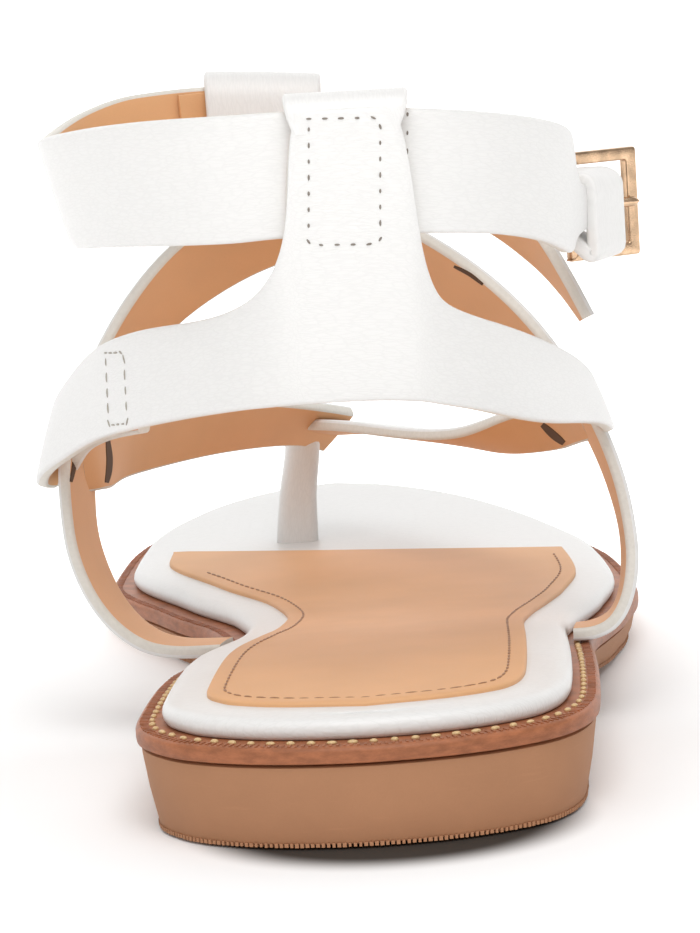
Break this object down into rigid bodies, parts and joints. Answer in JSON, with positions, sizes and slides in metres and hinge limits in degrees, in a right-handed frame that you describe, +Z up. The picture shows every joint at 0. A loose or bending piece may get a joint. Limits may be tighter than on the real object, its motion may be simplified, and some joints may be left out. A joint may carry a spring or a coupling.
{
  "type": "ankle strap sandal",
  "caption": "Flat ankle strap sandal for a right foot: low-heeled rubber sole, padded footbed, toe post, crossed leather straps and an open buckle on a swinging bar.",
  "frame": {"origin": "centre of the heel's flat rest on the floor", "axes": "+Y towards the toe, +Z up, +X to the outer side of the right foot"},
  "size_m": [0.099, 0.248, 0.1052],
  "materials": {
    "outsole_rubber": "matte moulded",
    "welt_leather": "satin",
    "white_leather": "grained satin",
    "tan_lining": "matte",
    "gold_metal": "polished"
  },
  "bodies": {
    "shoe": {"outsole": "outsole_rubber", "welt": "welt_leather", "footbed": "white_leather", "insole_sock": "tan_lining", "upper": "white_leather", "ankle_strap": "white_leather", "keeper_loop": "white_leather"},
    "frame": {"buckle_frame": "gold_metal"},
    "prong": {"buckle_prong": "gold_metal"}
  },
  "joints": [
    {"name": "frame_swing", "type": "hinge", "parent": "shoe", "child": "frame", "pos_m": [0.035, 0.0249, 0.0827], "axis": [0, 0, 1], "range_deg": [-10, 35]},
    {"name": "prong_swing", "type": "hinge", "parent": "frame", "child": "prong", "pos_m": [0.035, 0.0249, 0.0827], "axis": [0, 0, 1], "range_deg": [-20, 0]}
  ]
}
